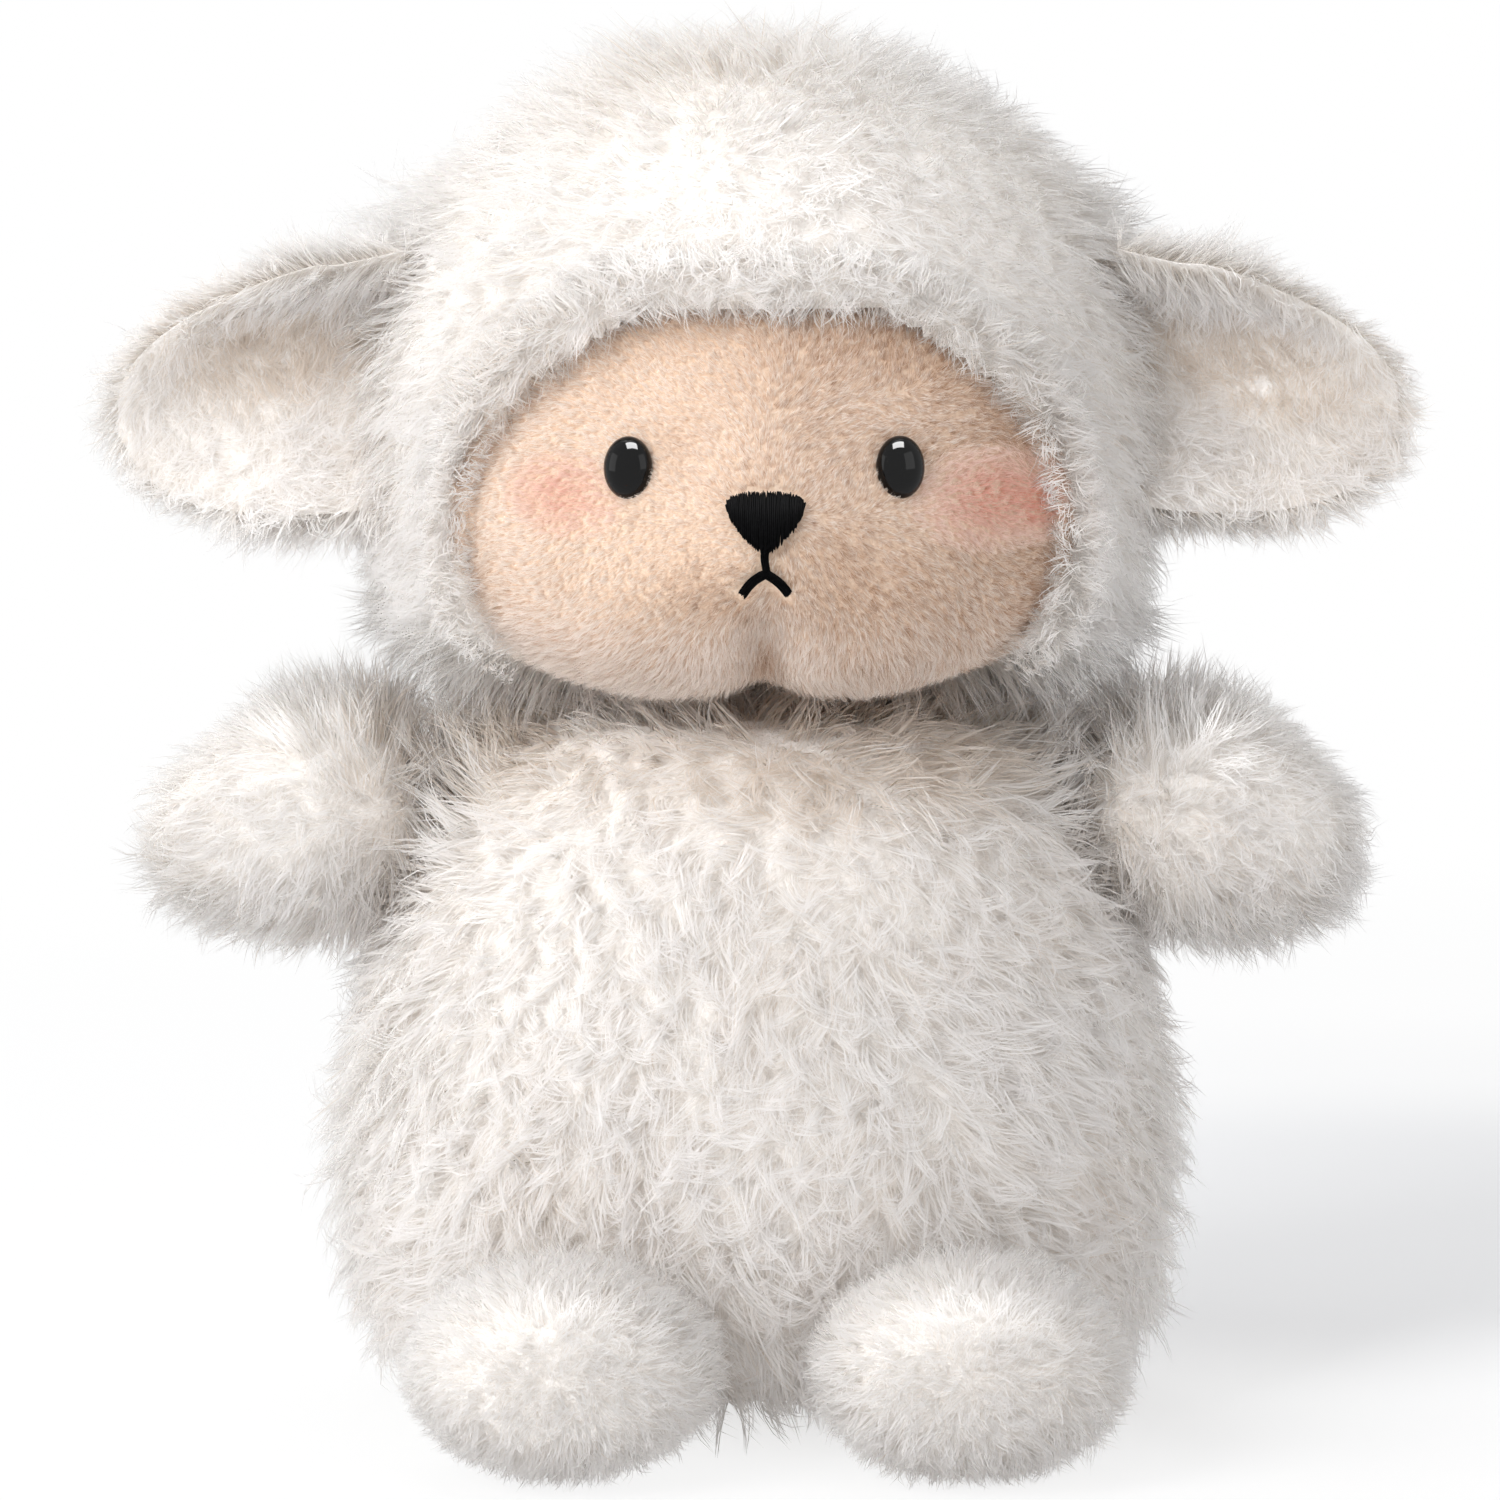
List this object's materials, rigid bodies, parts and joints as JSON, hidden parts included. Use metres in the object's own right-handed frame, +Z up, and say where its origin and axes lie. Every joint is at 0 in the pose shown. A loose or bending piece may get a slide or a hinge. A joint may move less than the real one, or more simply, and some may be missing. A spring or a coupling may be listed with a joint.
{
  "type": "plush sheep",
  "caption": "Sitting plush sheep with a long pile fur hood and body, a short pile face, glossy button eyes and an embroidered nose and mouth.",
  "frame": {"origin": "bottom centre of the toy's bounding box, on the surface that it sits on", "axes": "+Z up, -Y the way the face looks, +X towards the sheep's left side"},
  "size_m": [0.2852, 0.2146, 0.3],
  "materials": {
    "long_pile": "warm white long pile faux fur, soft and slightly shiny",
    "dense_pile": "warm white shorter dense pile faux fur",
    "short_pile": "brushed beige short pile plush with pink cheeks",
    "filling": "white polyester fibre filling",
    "pellet_cloth": "woven inner bag of plastic pellets",
    "eye_gloss": "polished black",
    "washer_plastic": "moulded, natural white",
    "black_thread": "black satin stitch embroidery thread"
  },
  "bodies": {
    "torso": {"body_skin": "long_pile", "body_stuffing": "filling", "pellet_bag": "pellet_cloth", "tail_skin": "long_pile", "tail_stuffing": "filling"},
    "neck": {"neck_stuffing": "filling"},
    "head": {"hood_skin": "long_pile", "head_stuffing": "filling", "face_panel": "short_pile", "nose_stitching": "black_thread", "mouth_stitching": "black_thread", "eye_right": "eye_gloss", "eye_left": "eye_gloss", "eye_washer_right": "washer_plastic", "eye_washer_left": "washer_plastic"},
    "right_ear": {"ear_right_front": "long_pile", "ear_right_back": "long_pile"},
    "left_ear": {"ear_left_front": "long_pile", "ear_left_back": "long_pile"},
    "right_arm": {"arm_right_skin": "long_pile", "arm_right_stuffing": "filling"},
    "left_arm": {"arm_left_skin": "long_pile", "arm_left_stuffing": "filling"},
    "right_leg": {"leg_right_skin": "dense_pile", "leg_right_stuffing": "filling"},
    "left_leg": {"leg_left_skin": "dense_pile", "leg_left_stuffing": "filling"}
  },
  "joints": [
    {"name": "head_turn", "type": "hinge", "parent": "torso", "child": "neck", "pos_m": [0, 0.00697, 0.1525], "axis": [0, 0, 1], "range_deg": [-18, 18], "stiffness_Nm_per_rad": 0.8},
    {"name": "head_nod", "type": "hinge", "parent": "neck", "child": "head", "pos_m": [0, 0.00697, 0.1525], "axis": [1, 0, 0], "range_deg": [-5, 6], "stiffness_Nm_per_rad": 2},
    {"name": "right_ear_fold", "type": "hinge", "parent": "head", "child": "right_ear", "pos_m": [-0.08823, 0.00297, 0.225], "axis": [0, 0, 1], "range_deg": [-18, 18], "stiffness_Nm_per_rad": 0.1},
    {"name": "left_ear_fold", "type": "hinge", "parent": "head", "child": "left_ear", "pos_m": [0.08823, 0.00297, 0.225], "axis": [0, 0, -1], "range_deg": [-18, 18], "stiffness_Nm_per_rad": 0.1},
    {"name": "right_arm_swing", "type": "hinge", "parent": "torso", "child": "right_arm", "pos_m": [-0.07549, 0.00697, 0.134], "axis": [0, 0, 1], "range_deg": [-12, 32], "stiffness_Nm_per_rad": 0.25},
    {"name": "left_arm_swing", "type": "hinge", "parent": "torso", "child": "left_arm", "pos_m": [0.07549, 0.00697, 0.134], "axis": [0, 0, -1], "range_deg": [-12, 32], "stiffness_Nm_per_rad": 0.25},
    {"name": "right_leg_splay", "type": "hinge", "parent": "torso", "child": "right_leg", "pos_m": [-0.043, -0.05533, 0.0245], "axis": [0, 0, -1], "range_deg": [-3, 12], "stiffness_Nm_per_rad": 0.4},
    {"name": "left_leg_splay", "type": "hinge", "parent": "torso", "child": "left_leg", "pos_m": [0.043, -0.05533, 0.0245], "axis": [0, 0, 1], "range_deg": [-3, 12], "stiffness_Nm_per_rad": 0.4}
  ]
}
